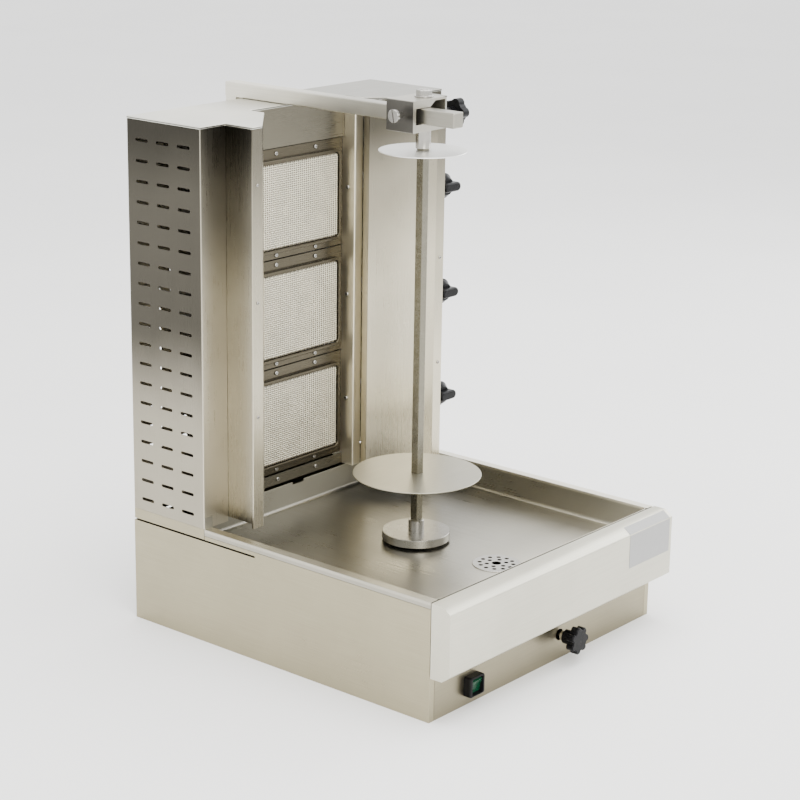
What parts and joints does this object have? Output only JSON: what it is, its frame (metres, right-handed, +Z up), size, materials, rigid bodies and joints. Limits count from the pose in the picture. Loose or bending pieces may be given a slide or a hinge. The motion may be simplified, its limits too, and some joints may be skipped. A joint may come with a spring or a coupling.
{
  "type": "vertical rotisserie broiler",
  "caption": "Vertical rotisserie broiler for cone-stacked meat: gas burners between reflector wings, a motor-driven spit over a drip tray, and an adjustable top support.",
  "frame": {"origin": "centre of the base's footprint on the surface it stands on", "axes": "+Z up, -Y towards the cook (front), +X to the right seen from the front"},
  "size_m": [0.503, 0.604, 0.76],
  "materials": {
    "stainless_brushed": "brushed",
    "stainless_bright": "satin, brighter",
    "turned_steel": "turned, bright",
    "galvanised_sheet": "dull zinc",
    "ceramic_plaque": "unglazed ceramic",
    "mesh_wire": "heat-resistant wire",
    "gas_brass": "machined",
    "gas_pipe": "black pipe",
    "black_plastic": "glossy",
    "switch_plastic": "matt",
    "label_paper": "blank white label on the drawer's front",
    "green_plastic": "translucent green",
    "motor_paint": "enamel",
    "gearbox_cast": "die cast"
  },
  "bodies": {
    "frame": {"base_back": "stainless_brushed", "base_floor": "galvanised_sheet", "base_side_left": "stainless_brushed", "base_side_right": "stainless_brushed", "burner_boxes": "galvanised_sheet", "burner_frame_1": "stainless_brushed", "burner_frame_2": "stainless_brushed", "burner_frame_3": "stainless_brushed", "burner_meshes": "mesh_wire", "burner_plaques": "ceramic_plaque", "burner_rail_left": "stainless_bright", "burner_rail_right": "stainless_bright", "cable_gland": "switch_plastic", "casing_left": "stainless_brushed", "casing_right": "stainless_brushed", "drain_grate": "stainless_bright", "drawer_runners": "galvanised_sheet", "drip_tray": "stainless_brushed", "front_panel": "stainless_brushed", "gas_injectors": "gas_brass", "gas_manifold": "gas_pipe", "gas_valves": "gas_brass", "lower_strip": "stainless_brushed", "rod_supports": "galvanised_sheet", "slide_rods": "turned_steel", "support_arm": "stainless_brushed", "switch_body": "switch_plastic", "switch_boot": "black_plastic", "tower_back": "stainless_brushed", "tower_base": "stainless_brushed", "tower_lid": "stainless_brushed", "tower_screws": "turned_steel", "upper_cover": "stainless_brushed", "wing_left": "stainless_bright", "wing_right": "stainless_bright"},
    "drawer": {"drawer_front": "stainless_brushed", "drawer_box": "stainless_brushed"},
    "carriage": {"carriage": "galvanised_sheet", "motor": "motor_paint", "gearbox": "gearbox_cast", "push_rod": "turned_steel"},
    "spit": {"drive_shaft": "turned_steel", "hub": "turned_steel", "spit": "turned_steel", "disc_pin": "turned_steel", "lower_disc": "stainless_brushed"},
    "top_disc": {"upper_disc": "stainless_brushed"},
    "lock_knob": {"front_knob": "black_plastic"},
    "block": {"slide_block": "stainless_brushed", "guide_screw": "turned_steel"},
    "pivot": {"pivot_pin": "turned_steel", "pin_nut": "turned_steel"},
    "clamp": {"clamp_knob": "black_plastic"},
    "switch_rocker": {"rocker": "green_plastic"},
    "valve_1": {"valve_spindle_1": "turned_steel"},
    "knob_1": {"gas_knob_1": "black_plastic"},
    "valve_2": {"valve_spindle_2": "turned_steel"},
    "knob_2": {"gas_knob_2": "black_plastic"},
    "valve_3": {"valve_spindle_3": "turned_steel"},
    "knob_3": {"gas_knob_3": "black_plastic"}
  },
  "joints": [
    {"name": "carriage_slide", "type": "slide", "parent": "frame", "child": "carriage", "axis": [0, 1, 0], "range_m": [-0.025, 0.009]},
    {"name": "spit_spin", "type": "hinge", "parent": "carriage", "child": "spit", "pos_m": [0, -0.039, 0.14], "axis": [0, 0, 1], "continuous": true},
    {"name": "top_disc_slide", "type": "slide", "parent": "spit", "child": "top_disc", "axis": [0, 0, 1], "range_m": [-0.38, 0]},
    {"name": "lock_knob_turn", "type": "hinge", "parent": "carriage", "child": "lock_knob", "pos_m": [0.0325, -0.29, 0.035], "axis": [0, -1, 0], "range_deg": [0, 270]},
    {"name": "block_slide", "type": "slide", "parent": "frame", "child": "block", "axis": [0, 1, 0], "range_m": [-0.025, 0.009]},
    {"name": "pin_lift", "type": "slide", "parent": "block", "child": "pivot", "axis": [0, 0, 1], "range_m": [0, 0.01]},
    {"name": "clamp_knob_turn", "type": "hinge", "parent": "block", "child": "clamp", "pos_m": [0.04, -0.039, 0.7225], "axis": [1, 0, 0], "range_deg": [0, 270]},
    {"name": "drawer_slide", "type": "slide", "parent": "frame", "child": "drawer", "axis": [0, -1, 0], "range_m": [0, 0.14]},
    {"name": "rocker_tilt", "type": "hinge", "parent": "frame", "child": "switch_rocker", "pos_m": [-0.164, -0.272, 0.027], "axis": [-1, 0, 0], "range_deg": [0, 16]},
    {"name": "valve_press_1", "type": "slide", "parent": "frame", "child": "valve_1", "axis": [0, 1, 0], "range_m": [0, 0.003], "stiffness_N_per_m": 500},
    {"name": "gas_knob_turn_1", "type": "hinge", "parent": "valve_1", "child": "knob_1", "pos_m": [0.226, 0.11, 0.5803], "axis": [0, -1, 0], "range_deg": [0, 180]},
    {"name": "valve_press_2", "type": "slide", "parent": "frame", "child": "valve_2", "axis": [0, 1, 0], "range_m": [0, 0.003], "stiffness_N_per_m": 500},
    {"name": "gas_knob_turn_2", "type": "hinge", "parent": "valve_2", "child": "knob_2", "pos_m": [0.226, 0.11, 0.4215], "axis": [0, -1, 0], "range_deg": [0, 180]},
    {"name": "valve_press_3", "type": "slide", "parent": "frame", "child": "valve_3", "axis": [0, 1, 0], "range_m": [0, 0.003], "stiffness_N_per_m": 500},
    {"name": "gas_knob_turn_3", "type": "hinge", "parent": "valve_3", "child": "knob_3", "pos_m": [0.226, 0.11, 0.2627], "axis": [0, -1, 0], "range_deg": [0, 180]}
  ],
  "couplings": [
    {"joint": "block_slide", "follows": "carriage_slide", "ratio": 1}
  ]
}
